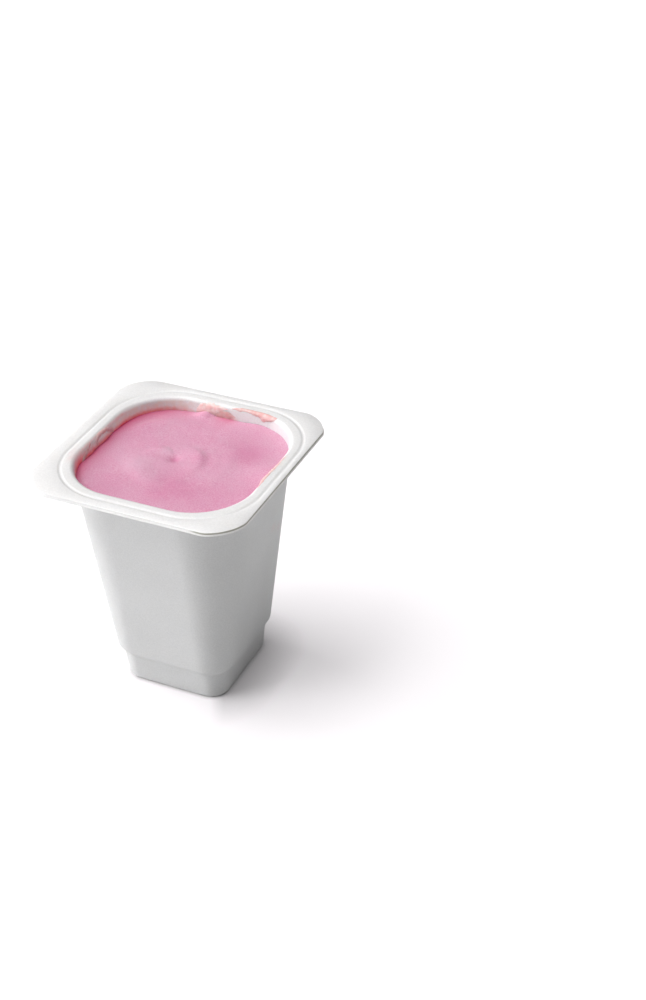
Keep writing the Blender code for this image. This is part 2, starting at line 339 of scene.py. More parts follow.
    gap = add(tree, VECTOR, {0: position, 1: given["Crease place"]}, operation="SUBTRACT").outputs[0]
    squeezed = add(tree, VECTOR, {0: gap, 1: given["Crease size"]}, operation="DIVIDE").outputs[0]
    far = add(tree, VECTOR, {0: squeezed, 1: squeezed}, operation="DOT_PRODUCT").outputs["Value"]
    minus = add(tree, MATH, {0: far, 1: -1.0}, operation="MULTIPLY").outputs[0]
    bell = add(tree, MATH, {0: minus}, operation="EXPONENT").outputs[0]
    depth = add(tree, MATH, {0: bell, 1: given["Crease depth"]}, operation="MULTIPLY").outputs[0]
    inward = add(tree, MATH, {0: depth, 1: -1.0}, operation="MULTIPLY").outputs[0]
    push = add(tree, VECTOR, {0: heading, "Scale": inward}, operation="SCALE").outputs[0]
    creased = add(tree, "GeometryNodeSetPosition", {"Geometry": trimmed, "Offset": push}).outputs[0]

    smooth = add(tree, "GeometryNodeSetShadeSmooth", {"Geometry": creased}).outputs[0]
    realized = add(tree, "GeometryNodeRealizeInstances", {"Geometry": smooth}).outputs[0]
    finished = add(tree, "GeometryNodeSetMaterial",
                   {"Geometry": realized, "Material": given["Finish"]}).outputs[0]
    add(tree, "NodeGroupOutput", {"Geometry": finished})
    return tree


def placed(name, data):
    """An object for a mesh, a light or a camera, in the scene."""
    item = bpy.data.objects.new(name, data)
    bpy.context.scene.collection.objects.link(item)
    return item


def grown(name, mesh, tree, values):
    """Runs a tree on a mesh with the values for its named inputs, and keeps the result as a plain mesh."""
    seed = placed(name + "_seed", mesh)
    modifier = seed.modifiers.new("grow", "NODES")
    modifier.node_group = tree
    for item in tree.interface.items_tree:
        if item.item_type == "SOCKET" and item.in_out == "INPUT" and item.name in values:
            modifier[item.identifier] = values[item.name]
    graph = bpy.context.evaluated_depsgraph_get()
    result = bpy.data.meshes.new_from_object(seed.evaluated_get(graph), preserve_all_data_layers=True,
                                             depsgraph=graph)
    seed.modifiers.remove(modifier)
    bpy.data.objects.remove(seed)
    result.name = name
    return placed(name, result)


def close_ends(mesh):
    """Closes the open rings with flat faces, turns all faces outwards and marks the sharp edges."""
    bm = bmesh.new()
    bm.from_mesh(mesh)
    bmesh.ops.remove_doubles(bm, verts=bm.verts, dist=0.00002 * MM)
    bmesh.ops.holes_fill(bm, edges=[edge for edge in bm.edges if edge.is_boundary], sides=0)
    bmesh.ops.recalc_face_normals(bm, faces=bm.faces)
    bm.to_mesh(mesh)
    bm.free()
    mesh.shade_smooth()
    mesh.set_sharp_from_angle(angle=math.radians(35))


# What the yogurt left on the inside, with painted shade and glow, by bearing about the pot's axis: how red it
# is at the contact, where a real film of juice carries painted shade and painted glow of light through the
# wall, strongest on the shaded left; over how many millimetres that fades up the wall; how much thin film
# lies above it; and how far the red reaches into the yogurt as painted shade
WIPED_AND_PAINTED_SHADE = [
    (-180.0, 0.85, 1.0, 0.4, 2.3),
    (-165.0, 0.85, 1.6, 0.4, 2.6),
    (-152.0, 0.85, 2.4, 0.45, 2.7),
    (-143.0, 0.8, 1.2, 0.2, 1.5),
    (-135.0, 0.4, 0.5, 0.05, 0.9),
    (-90.0, 0.6, 0.3, 0.0, 1.0),
    (-45.0, 0.6, 0.3, 0.0, 1.0),
    (0.0, 0.2, 0.4, 0.05, 0.8),
    (40.0, 0.0, 0.3, 0.0, 0.7),
    (80.0, 0.0, 0.4, 0.05, 1.5),
    # These two bearings paint the blob's shadow on the back wall as red at the contact
    (86.0, 0.6, 1.0, 0.1, 2.6),
    (93.0, 0.5, 0.9, 0.1, 2.6),
    (98.0, 0.0, 0.4, 0.1, 1.5),
    (107.0, 0.0, 0.4, 0.05, 2.0),
    (116.0, 0.4, 0.8, 0.5, 3.4),
    (128.0, 0.6, 0.9, 0.65, 3.6),
    (145.0, 0.85, 0.9, 0.6, 3.0),
    (165.0, 0.9, 0.9, 0.5, 2.3),
    (180.0, 0.85, 1.0, 0.4, 2.3),
]

# How far past the inner wall's line a point still counts as inside, on the wall and on the lip above it; how
# far below the level the stain and its painted shade start; and how far below the flange the film starts and
# is full
ON_WALL, ON_LIP, LIP_HEIGHT, STAIN_BELOW, FILM_START, FILM_FULL = 0.3, 2.4, 0.8, 3.0, 0.2, 1.4

# Strength and half width of the lines of film on the lip and of the juice in them; and strength, length, half
# width and slope of the faint pinkish painted shade along the crease
FILM_LINE, JUICE_LINE, CREASE_MARK = (0.4, 0.45), (0.22, 0.4), (0.1, 4.0, 0.9, 0.5)

# The wave of the yogurt's edge: height, how many times it goes round, and phase
EDGE_WAVES = [(0.125, 2.0, 0.6), (0.075, 5.0, 2.0), (0.05, 9.0, 0.0)]

# The lines of film, as places that each runs through
LIP_FILMS = [
    [(-24.2, -13.0, 67.6), (-24.3, -7.3, 67.8), (-24.3, 0.9, 67.8), (-24.1, 11.2, 67.5), (-23.6, 18.5, 66.9)],
    [(27.4, 9.2, 68.3), (27.0, 5.9, 68.3), (26.5, 2.2, 68.2), (26.3, -2.4, 68.1)],
]


def wiped_and_painted_shade_at(x, y):
    """The row of WIPED_AND_PAINTED_SHADE at a bearing, blended between the two nearest."""
    bearing = math.degrees(math.atan2(y - POT_AXIS[1], x - POT_AXIS[0]))
    for before, after in zip(WIPED_AND_PAINTED_SHADE, WIPED_AND_PAINTED_SHADE[1:]):
        if bearing <= after[0]:
            share = (bearing - before[0]) / (after[0] - before[0])
            return [a + (b - a) * share for a, b in zip(before[1:], after[1:])]
    return WIPED_AND_PAINTED_SHADE[-1][1:]


def edge_height(x, y):
    """Height of the yogurt where it meets the wall: a slow wave round the pot."""
    bearing = math.atan2(y - POT_AXIS[1], x - POT_AXIS[0])
    return LEVEL + sum(height * math.sin(turns * bearing + phase) for height, turns, phase in EDGE_WAVES)


def stain_and_painted_shade(mesh):
    """Stores on each point of the pot's inside how much thin film lies there and how much red: juice with
    painted shade and glow at the contact, and painted shade along the crease.
    """
    films = []
    reds_and_painted_shade = []
    for vertex in mesh.vertices:
        x, y, z = [c / MM for c in vertex.co]
        core = corner_centre(z)
        past_x = max(abs(x - POT_AXIS[0]) - core, 0.0)
        past_y = max(abs(y - POT_AXIS[1]) - core, 0.0)
        half = core + math.hypot(past_x, past_y)
        film = red = 0.0
        slack = ON_WALL if z < HEIGHT - LIP_HEIGHT else ON_LIP
        if z > LEVEL - STAIN_BELOW and half < inner_half(z) + slack:
            strength, height, veil, _ = wiped_and_painted_shade_at(x, y)
            above = z - edge_height(x, y)
            # Red at the contact: a juice film with painted shade and painted glow of light through the wall
            red = strength * math.exp(-(max(above, 0.0) / height) ** 2)
            film = veil * smoothstep((HEIGHT - FILM_START - z) / (FILM_FULL - FILM_START))
            for line in LIP_FILMS:
                near = min((Vector(place) - Vector((x, y, z))).length for place in denser(line))
                film = max(film, FILM_LINE[0] * math.exp(-(near / FILM_LINE[1]) ** 2))
                red = max(red, JUICE_LINE[0] * math.exp(-(near / JUICE_LINE[1]) ** 2))
        # Painted shade: a faint pinkish darkening along the crease on the outer right face, stored with the
        # red
        if x > 20.0 and half > inner_half(z) + 0.25:
            strength, length, width, slope = CREASE_MARK
            along = y - CREASE_PLACE[1]
            over = z - CREASE_PLACE[2] + slope * along
            red = strength * math.exp(-(along / length) ** 2 - (over / width) ** 2)
        films.append(film)
        reds_and_painted_shade.append(red)
    store(mesh, film=films, juice=reds_and_painted_shade)


def denser(line):
    """A line's places with others between them, at most a third of a millimetre apart."""
    places = []
    for start, end in zip(line, line[1:]):
        steps = int((Vector(end) - Vector(start)).length * 3.0) + 1
        places += [Vector(start).lerp(Vector(end), step / steps) for step in range(steps)]
    return places


# The sheared band's start and end, as depths over which it fades, and the x from which it is painted with
# shade
SHEAR_START, SHEAR_END, PAINTED_SHADE_FROM = (0.1, 0.15), (0.48, 0.58), (19.0, 21.0)


# White high-impact polystyrene, satin from the mould: it scatters light a little way in, so that edges glow
# and thin walls pass some light. Its sheen is broad. The wall has faint draw lines from the stretching and an
# orange peel, which is really about 0.1 mm wide and is drawn coarser so that it shows. The sheared band of
# the cut edge has painted shade: it is painted grey on the far side from the light.
def polystyrene():
    material, tree = principled("thermoformed_polystyrene", {
        "IOR": 1.59,
        "Subsurface Weight": 0.6,
        "Subsurface Radius": (1.0, 0.95, 0.9),
        "Subsurface Scale": 1.8 * MM,
    })
    coordinates = add(tree, "ShaderNodeTexCoord").outputs["Object"]
    drawn = add(tree, "ShaderNodeMapping", {"Vector": coordinates, "Scale": (1.0, 1.0, 0.08)}).outputs[0]
    lines = add(tree, NOISE, {"Vector": drawn, "Scale": cells(2.381), "Detail": 3.0}).outputs[0]
    peel = add(tree, NOISE, {"Vector": coordinates, "Scale": cells(0.3846), "Detail": 2.0}).outputs[0]
    cloud = add(tree, NOISE, {"Vector": coordinates, "Scale": cells(16.67), "Detail": 2.0}).outputs[0]
    mixed = add(tree, MATH, {0: lines, 1: 1.6, 2: peel}, operation="MULTIPLY_ADD").outputs[0]
    bump = add(tree, "ShaderNodeBump", {"Height": mixed, "Strength": 0.2, "Distance": 0.05 * MM}).outputs[0]
    mottled = add(tree, MATH, {0: cloud, 1: 0.5, 2: peel}, operation="MULTIPLY_ADD").outputs[0]
    tone = add(tree, "ShaderNodeValToRGB", {"Fac": mottled})
    tone.color_ramp.elements[0].position = 0.55
    tone.color_ramp.elements[0].color = linear("d9d8d8")
    tone.color_ramp.elements[1].position = 0.95
    tone.color_ramp.elements[1].color = linear("e2e1e1")
    rough = add(tree, RANGE, {"Value": peel, "To Min": 0.36, "To Max": 0.48}).outputs[0]
    film = add(tree, "ShaderNodeAttribute", attribute_name="film").outputs["Fac"]
    # The stored red: juice, with painted shade and painted glow at the contact and painted shade along the
    # crease
    juice = add(tree, "ShaderNodeAttribute", attribute_name="juice").outputs["Fac"]
    blotch = add(tree, NOISE, {"Vector": coordinates, "Scale": cells(1.111), "Detail": 3.0}).outputs[0]
    broken = add(tree, RANGE, {"Value": blotch, "From Min": 0.3, "From Max": 0.62}).outputs[0]
    veil = add(tree, MATH, {0: film, 1: broken}, operation="MULTIPLY").outputs[0]
    uneven = add(tree, RANGE, {"Value": blotch, "To Min": 0.55, "To Max": 1.35}).outputs[0]
    juice_and_painted_shade = add(tree, MATH, {0: juice, 1: uneven}, operation="MULTIPLY", use_clamp=True).outputs[0]
    place = add(tree, "ShaderNodeSeparateXYZ", {0: coordinates}).outputs
    upper = add(tree, RANGE, {"Value": place["Z"], "From Min": (HEIGHT - SHEAR_END[1]) * MM,
                            "From Max": (HEIGHT - SHEAR_END[0]) * MM}).outputs[0]
    lower = add(tree, RANGE, {"Value": place["Z"], "From Min": (HEIGHT - SHEAR_START[0]) * MM,
                            "From Max": (HEIGHT - SHEAR_START[1]) * MM}).outputs[0]
    cut = add(tree, "ShaderNodeAttribute", attribute_name="cut").outputs["Fac"]
    edge = add(tree, MATH, {0: cut, 1: 0.98}, operation="GREATER_THAN").outputs[0]
    band = add(tree, MATH, {0: upper, 1: lower}, operation="MULTIPLY").outputs[0]
    sheared = add(tree, MATH, {0: band, 1: edge}, operation="MULTIPLY").outputs[0]
    # Painted shade: the sheared band turns grey only past the x where the cut edge faces away from the light
    away = add(tree, RANGE, {"Value": place["X"], "From Min": PAINTED_SHADE_FROM[0] * MM,
                           "From Max": PAINTED_SHADE_FROM[1] * MM}).outputs[0]
    painted_shade_band = add(tree, MATH, {0: sheared, 1: away}, operation="MULTIPLY").outputs[0]
    # The grey of that painted shade on the cut edge
    plastic = add(tree, MIX, {0: painted_shade_band, 6: tone.outputs[0], 7: linear("a3a299")},
                  data_type="RGBA").outputs[2]
    filmed = add(tree, MIX, {0: veil, 6: plastic, 7: linear("e4cabd")}, data_type="RGBA").outputs[2]
    # The juice red, which also paints shade and glow at the contact and a shadow along the crease
    coloured = add(tree, MIX, {0: juice_and_painted_shade, 6: filmed, 7: linear("f8586a")}, data_type="RGBA").outputs[2]
    dress(tree, coloured, rough, bump)
    return material


white = polystyrene()
pot = grown("pot_shell", section_mesh(), pot_tree(), {
    "Corner centre": CORNER_CENTRE * MM,
    "Corner steps": 36,
    "Side cuts": 36,
    "Pot axis": (POT_AXIS[0] * MM, POT_AXIS[1] * MM, 0.0),
    "Crease place": [c * MM for c in CREASE_PLACE],
    "Crease size": [c * MM for c in CREASE_SIZE],
    "Crease depth": CREASE_DEPTH * MM,
    "Finish": white,
})
close_ends(pot.data)
stain_and_painted_shade(pot.data)
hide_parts("pot")
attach(pot, "root")


# The yogurt
# Stirred fruit yogurt, filled warm and set to a soft gel: the nozzle and the last drops left a flat swirl
# round a dimple. It rounds off at the wall, climbs it where the pot was tilted, and is pinker in patches
# where juice has parted from it. Near the wall its top is painted deep red as shade, most on the shaded left.

POT_GAP = 0.3
SWIRL = (-2.0, 0.9)

# How far the top rises from the wall, and the shares of the way in over which it rises and settles
EDGE_RISE, EDGE_ROUND, EDGE_SETTLED = 0.6, 0.15, 0.3

# The top's rings, how they crowd towards the swirl, about half the top's width, how far below the level the
# sides start, and how far the top's edge sinks into the wall
ROWS, CROWDING, TOP_HALF, TOP_CLEAR, EDGE_SINK = 110, 1.12, 24.0, 0.8, 0.03

# The dimple as two bells, each with its depth and radius, and the top's unevenness as three noises, each with
# its height, its size and the slice of the noise that it reads
DIMPLE = [(0.55, 1.6), (0.2, 4.0)]
UNEVEN = [(0.14, 9.0, 3.0), (0.06, 3.5, 8.0), (0.02, 1.1, 1.0)]

# A stroke's outer and inner slope, how its ends fade, and how near the centre it stays flat
OUTER_SLOPE, INNER_SLOPE, END_FADE, CENTRE_FADE = 1.35, 0.8, 1.4, 3.0

# Strokes of the swirl: start and end bearing in degrees, start and end distance from its centre, height and
# width
STROKES = [
    (195.0, 122.0, 8.8, 3.9, 0.5, 2.0),
    (100.0, -62.0, 5.2, 8.6, 0.42, 2.0),
    (182.0, 88.0, 20.5, 17.5, 0.6, 2.6),
    (66.0, -55.0, 15.5, 14.5, 0.26, 2.6),
    (186.0, 290.0, 10.0, 12.0, 0.5, 3.2),
    (60.0, -40.0, 10.5, 11.5, 0.1, 1.8),
]

# Yogurt that has climbed the wall: x, y, height and radius
LUMPS = [
    (-5.0, 24.6, 1.2, 2.3),
    (-23.4, 6.5, 0.3, 2.6),
    (-23.4, -1.2, 0.3, 2.2),
    (-22.8, -11.0, 0.3, 3.0),
    (25.0, 4.0, 0.7, 4.5),
    (11.0, 24.6, 0.3, 3.5),
]

# Patches of tone: x, y, radius and amount, where plus is pinker and minus is creamier
TONES = [
    (15.5, 9.5, 4.5, 0.65),
    (3.5, -11.5, 6.5, 0.59),
    (-12.0, -17.0, 7.0, 0.20),
    (-10.6, -4.8, 4.5, -0.52),
    (-5.0, -9.5, 3.5, -0.33),
    (-18.5, 11.0, 6.0, 0.45),
    (-2.0, 0.9, 1.1, 1.2),
    (5.5, 2.5, 3.0, 0.33),
    (-5.6, 3.4, 2.0, -0.6),
    (8.0, 17.0, 8.0, 0.13),
    (18.0, -12.0, 7.0, 0.4),
]


def stroke_height(distance, bearing):
    """Relief of the strokes: soft folds, steeper on their outer side, that fade out at both ends."""
    total = 0.0
    for start, end, near, far, height, width in STROKES:
        for turn in (-360.0, 0.0, 360.0):
            along = (bearing + turn - start) / (end - start)
            if 0.0 <= along <= 1.0:
                across = (distance - near - (far - near) * along) / width
                across *= OUTER_SLOPE if across > 0.0 else INNER_SLOPE
                total += height * math.sin(math.pi * along) ** END_FADE * math.exp(-across * across)
    return total * smoothstep(distance / CENTRE_FADE)


def surface_height(x, y, inwards):
    """Height of the yogurt's top; inwards runs from 0 at the wall to 1 at the swirl's centre."""
    edge = edge_height(x, y)
    settled = smoothstep(inwards / EDGE_SETTLED)
    dx = x - SWIRL[0]
    dy = y - SWIRL[1]
    distance = math.hypot(dx, dy)
    swirl = stroke_height(distance, math.degrees(math.atan2(dy, dx)))
    dimple = sum(depth * math.exp(-((distance / radius) ** 2)) for depth, radius in DIMPLE)
    rise = EDGE_RISE * (1.0 - math.exp(-inwards / EDGE_ROUND))
    climbed = sum(height * bell(x - a, y - b, radius) for a, b, height, radius in LUMPS)
    uneven = sum(height * noise.noise((x / size, y / size, cut)) for height, size, cut in UNEVEN)
    return edge + (LEVEL - edge) * settled + rise + (swirl + uneven) * settled - dimple + climbed


def bell(dx, dy, radius):
    return math.exp(-(dx ** 2 + dy ** 2) / (radius * radius))


def tone_at(x, y):
    return sum(amount * bell(x - a, y - b, radius) for a, b, radius, amount in TONES)


def square_ring(half, core):
    """One rounded square about the pot's axis as a list of (x, y)."""
    corner_steps = 40
    side_steps = 24
    ring = []
    for quadrant in range(4):
        turn = quadrant * math.pi / 2.0
        corner = []
        for step in range(corner_steps):
            angle = math.pi / 2.0 * step / corner_steps
            corner.append((core + (half - core) * math.cos(angle), core + (half - core) * math.sin(angle)))
        for step in range(side_steps):
            corner.append((core * (1.0 - 2.0 * step / side_steps), half))
        for x, y in corner:
            ring.append((POT_AXIS[0] + x * math.cos(turn) - y * math.sin(turn),
                         POT_AXIS[1] + x * math.sin(turn) + y * math.cos(turn)))
    return ring


def yogurt_mesh():
    """The filling: its top as rings about the swirl, then sides and a bottom that follow the pot."""
    level_half = inner_half(LEVEL)
    contact = []
    for x, y in square_ring(level_half, corner_centre(LEVEL)):
        z = surface_height(x, y, 0.0)
        share = (inner_half(z) + EDGE_SINK) / level_half
        contact.append((POT_AXIS[0] + (x - POT_AXIS[0]) * share, POT_AXIS[1] + (y - POT_AXIS[1]) * share, z))
    rings = []
    for ring in range(1, ROWS):
        share = (ring / ROWS) ** CROWDING
        row = []
        for x, y, _ in contact:
            inner_x = SWIRL[0] + (x - SWIRL[0]) * share
            inner_y = SWIRL[1] + (y - SWIRL[1]) * share
            row.append((inner_x, inner_y, surface_height(inner_x, inner_y, 1.0 - share)))
        rings.append(row)
    rings.append(contact)
    inside = [(half, z, core, -POT_GAP) for half, z, core, gauge in inner_skin() if z < LEVEL - TOP_CLEAR]
    for half, z, core, _ in moved_out(inside):
        rings.append([(x, y, z) for x, y in square_ring(half, core)])
    around = len(contact)
    points = [(SWIRL[0], SWIRL[1], surface_height(*SWIRL, 1.0))]
    points += [point for ring in rings for point in ring]
    faces = [(0, 1 + k, 1 + (k + 1) % around) for k in range(around)]
    for ring in range(len(rings) - 1):
        first = 1 + ring * around
        for k in range(around):
            after = (k + 1) % around
            faces.append((first + k, first + around + k, first + around + after, first + after))
    last = 1 + (len(rings) - 1) * around
    faces.append([last + k for k in range(around)])
    mesh = bpy.data.meshes.new("yogurt_fill")
    mesh.from_pydata([[c * MM for c in point] for point in points], [], faces)
    # Painted shade: a deep red rim on the top near the wall, as strong as the red at the contact on that
    # bearing
    rim = []
    for k, (x, y, z) in enumerate(points):
        wall = min(1.0, max(0.0, ((k - 1) // around + 1) / ROWS) ** CROWDING)
        strength, _, _, reach = wiped_and_painted_shade_at(x, y)
        rim.append(min(1.0, strength * math.exp(-((1.0 - wall) * TOP_HALF / reach) ** 1.2)))
    store(mesh, tone=[tone_at(x, y) for x, y, z in points], rim=rim)
    return mesh


def fruit_yogurt():
    """Milk gel with fruit juice: light goes a few millimetres in, which softens every fold; the top is moist,
    with a soft sheen and a fine grain, drawn coarser than it is. Fat globules keep it pale; the juice gives a
    cool pink."""
    material, tree = principled("fruit_yogurt", {
        "IOR": 1.37,
        "Subsurface Weight": 0.4,
        "Subsurface Radius": (1.0, 0.45, 0.6),
        "Subsurface Scale": 1.6 * MM,
    })
    coordinates = add(tree, "ShaderNodeTexCoord").outputs["Object"]
    tone = add(tree, "ShaderNodeAttribute", attribute_name="tone").outputs["Fac"]
    rim = add(tree, "ShaderNodeAttribute", attribute_name="rim").outputs["Fac"]
    cloud = add(tree, NOISE, {"Vector": coordinates, "Scale": cells(9.091), "Detail": 3.0}).outputs[0]
    fine = add(tree, NOISE, {"Vector": coordinates, "Scale": cells(0.3448), "Detail": 2.0}).outputs[0]
    curds = add(tree, NOISE, {"Vector": coordinates, "Scale": cells(1.429), "Detail": 3.0}).outputs[0]
    patchy = add(tree, MATH, {0: cloud, 1: 0.9, 2: tone}, operation="MULTIPLY_ADD").outputs[0]
    speckled = add(tree, MATH, {0: fine, 1: 3.1, 2: patchy}, operation="MULTIPLY_ADD").outputs[0]
    share = add(tree, RANGE, {"Value": speckled, "From Min": 1.35, "From Max": 2.85}).outputs[0]
    body = add(tree, MIX, {0: share, 6: linear("d6a9bd"), 7: linear("c983a1")}, data_type="RGBA").outputs[2]
    # The deep red of the painted shade at the wall
    body_with_painted_shade = add(tree, MIX, {0: rim, 6: body, 7: linear("c23668")}, data_type="RGBA").outputs[2]
    rough = add(tree, RANGE, {"Value": cloud, "To Min": 0.36, "To Max": 0.5}).outputs[0]
    bump = add(tree, "ShaderNodeBump", {"Height": curds, "Strength": 0.25, "Distance": 0.05 * MM}).outputs[0]
    dress(tree, body_with_painted_shade, rough, bump)
    return material


yogurt = placed("yogurt_fill", yogurt_mesh())
yogurt.data.materials.append(fruit_yogurt())
close_ends(yogurt.data)
yogurt.data.shade_smooth()
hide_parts("yogurt")
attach(yogurt, "root")


# Smears
# Yogurt that splashed on the inside of the full pot and stuck: a streak to a thick end on the back lip, a
# blob on the back wall with a strip right of it that is tinted salmon as the blob's painted shadow, a hook
# and a drip on the left wall, and a bead along the right lip. They are a few tenths of a millimetre thick, so
# the white shows through.


def smear_seed(strokes):
    """Edge chains for the strokes: each point has a half width, a thickness, a tint and the wall's facing."""
    points, edges, halves, depths, tints, facings = [], [], [], [], [], []
    for facing, tint, stroke in strokes:
        first = len(points)
        edges += [(first + k, first + k + 1) for k in range(len(stroke) - 1)]
        for x, y, z, half, depth in stroke:
            points.append((x * MM, y * MM, z * MM))
            halves.append(half * MM)
            depths.append(depth * MM)
            tints.append(tint)
            facings += Vector(facing).normalized()[:]
    mesh = bpy.data.meshes.new("smear_paths")
    mesh.from_pydata(points, edges, [])
    store(mesh, half_width=halves, depth=depths, tint=tints)
    mesh.attributes.new("facing", "FLOAT_VECTOR", "POINT").data.foreach_set("vector", facings)
    return mesh


def smear_tree():
    """Lays a lens-shaped strip of yogurt along each path: every point of it is cast back on to the pot."""
    tree, given = new_tree("smeared_yogurt", {
        "Pot": "Object",
        "Step": "Float",
        "Across": "Int",
        "Raggedness": "Float",
        "Sink": "Float",
        "Ceiling": "Float",
        "Cast from": "Float",
        "Cast reach": "Float",
    })

    vector = {"data_type": "FLOAT_VECTOR", "domain": "POINT"}
    attribute = {
        name: add(tree, "GeometryNodeInputNamedAttribute", {"Name": name},
                  data_type=kind).outputs["Attribute"]
        for kind, names in {"FLOAT": ("half_width", "depth"),
                            "FLOAT_VECTOR": ("facing", "centre", "along", "cross")}.items()
        for name in names
    }

    path = add(tree, "GeometryNodeMeshToCurve", {"Mesh": given["Geometry"]}).outputs[0]
    curved = add(tree, "GeometryNodeCurveSplineType", {"Curve": path}, spline_type="CATMULL_ROM").outputs[0]
    even = add(tree, "GeometryNodeResampleCurve", {"Curve": curved, "Length": given["Step"]},
               mode="LENGTH").outputs[0]
    position = add(tree, "GeometryNodeInputPosition").outputs[0]
    along = add(tree, "GeometryNodeInputTangent").outputs[0]
    centred = add(tree, "GeometryNodeStoreNamedAttribute",
                  {"Geometry": even, "Name": "centre", "Value": position}, **vector).outputs[0]
    aimed = add(tree, "GeometryNodeStoreNamedAttribute",
                {"Geometry": centred, "Name": "along", "Value": along}, **vector).outputs[0]
    ring = add(tree, "GeometryNodeCurvePrimitiveCircle",
               {"Resolution": given["Across"], "Radius": 1.0}, mode="RADIUS").outputs[0]
    rounded = add(tree, "GeometryNodeStoreNamedAttribute",
                  {"Geometry": ring, "Name": "cross", "Value": position}, **vector).outputs[0]
    swept = add(tree, "GeometryNodeCurveToMesh",
                {"Curve": aimed, "Profile Curve": rounded, "Fill Caps": True}).outputs[0]

    facing = attribute["facing"]
    centre = attribute["centre"]
    cross = add(tree, "ShaderNodeSeparateXYZ", {0: attribute["cross"]}).outputs
    side = add(tree, VECTOR, {0: attribute["along"], 1: facing}, operation="CROSS_PRODUCT").outputs[0]
    across = add(tree, VECTOR, {0: side}, operation="NORMALIZE").outputs[0]
    reach = add(tree, MATH, {0: cross["X"], 1: attribute["half_width"]}, operation="MULTIPLY").outputs[0]
    offset = add(tree, VECTOR, {0: across, "Scale": reach}, operation="SCALE").outputs[0]
    flat = add(tree, VECTOR, {0: centre, 1: offset}, operation="ADD").outputs[0]
    ragged = add(tree, NOISE, {"Vector": flat, "Scale": cells(1.111), "Detail": 2.0}).outputs[0]
    swing = add(tree, MATH, {0: ragged, 1: 0.5}, operation="SUBTRACT").outputs[0]
    wobble = add(tree, MATH, {0: swing, 1: given["Raggedness"], 2: 1.0}, operation="MULTIPLY_ADD").outputs[0]
    uneven = add(tree, VECTOR, {0: offset, "Scale": wobble}, operation="SCALE").outputs[0]
    spot = add(tree, VECTOR, {0: centre, 1: uneven}, operation="ADD").outputs[0]
    stand_off = add(tree, VECTOR, {0: facing, "Scale": given["Cast from"]}, operation="SCALE").outputs[0]
    start = add(tree, VECTOR, {0: spot, 1: stand_off}, operation="ADD").outputs[0]
    towards = add(tree, VECTOR, {0: facing, "Scale": -1.0}, operation="SCALE").outputs[0]
    wall = add(tree, "GeometryNodeObjectInfo", {"Object": given["Pot"]},
               transform_space="RELATIVE").outputs["Geometry"]
    ray = add(tree, "GeometryNodeRaycast", {
        "Target Geometry": wall,
        "Source Position": start,
        "Ray Direction": towards,
        "Ray Length": given["Cast reach"],
    }).outputs
    top = add(tree, MATH, {0: cross["Y"], 1: 0.0}, operation="MAXIMUM").outputs[0]
    bottom = add(tree, MATH, {0: cross["Y"], 1: 0.0}, operation="MINIMUM").outputs[0]
    thick = add(tree, MATH, {0: attribute["depth"], 1: wobble}, operation="MULTIPLY").outputs[0]
    feathered = add(tree, MATH, {0: top, 1: 1.7}, operation="POWER").outputs[0]
    raised = add(tree, MATH, {0: feathered, 1: thick}, operation="MULTIPLY").outputs[0]
    lift = add(tree, MATH, {0: bottom, 1: given["Sink"], 2: raised}, operation="MULTIPLY_ADD").outputs[0]
    layer = add(tree, VECTOR, {0: ray["Hit Normal"], "Scale": lift}, operation="SCALE").outputs[0]
    laid = add(tree, VECTOR, {0: ray["Hit Position"], 1: layer}, operation="ADD").outputs[0]
    ceiling = add(tree, "ShaderNodeCombineXYZ", {0: 1.0, 1: 1.0, 2: given["Ceiling"]}).outputs[0]
    capped = add(tree, VECTOR, {0: laid, 1: ceiling}, operation="MINIMUM").outputs[0]
    shaped = add(tree, "GeometryNodeSetPosition", {"Geometry": swept, "Position": capped}).outputs[0]
    outward = add(tree, "GeometryNodeFlipFaces", {"Mesh": shaped}).outputs[0]
    smooth = add(tree, "GeometryNodeSetShadeSmooth", {"Geometry": outward}).outputs[0]
    realized = add(tree, "GeometryNodeRealizeInstances", {"Geometry": smooth}).outputs[0]
    finished = add(tree, "GeometryNodeSetMaterial",
                   {"Geometry": realized, "Material": given["Finish"]}).outputs[0]
    add(tree, "NodeGroupOutput", {"Geometry": finished})
    return tree


# The same yogurt a few tenths of a millimetre thick: paler than the filling over white plastic, and dried a
# little, which turns the pink towards salmon in streaks. The salmon tint also paints the blob's shadow on the
# strip beside it.
def thin_yogurt():
    material, tree = principled("thin_yogurt_smear", {
        "IOR": 1.37,
        "Subsurface Weight": 0.3,
        "Subsurface Radius": (1.0, 0.5, 0.6),
        "Subsurface Scale": 0.6 * MM,
    })
    coordinates = add(tree, "ShaderNodeTexCoord").outputs["Object"]
    streaks = add(tree, NOISE, {"Vector": coordinates, "Scale": cells(1.333), "Detail": 3.0}).outputs[0]
    share = add(tree, RANGE, {"Value": streaks, "From Min": 0.36, "From Max": 0.62}).outputs[0]
    tint = add(tree, "ShaderNodeAttribute", attribute_name="tint").outputs["Fac"]
    pale = add(tree, MIX, {0: tint, 6: linear("fbe3df"), 7: linear("d3aeab")}, data_type="RGBA").outputs[2]
    strong = add(tree, MIX, {0: tint, 6: linear("f3c4c0"), 7: linear("d09795")}, data_type="RGBA").outputs[2]
    body = add(tree, MIX, {0: share, 6: pale, 7: strong}, data_type="RGBA").outputs[2]
    bump = add(tree, "ShaderNodeBump", {"Height": streaks, "Strength": 0.2, "Distance": 0.06 * MM}).outputs[0]
    rough = add(tree, RANGE, {"Value": streaks, "To Min": 0.3, "To Max": 0.5}).outputs[0]
    dress(tree, body, rough, bump)
    return material


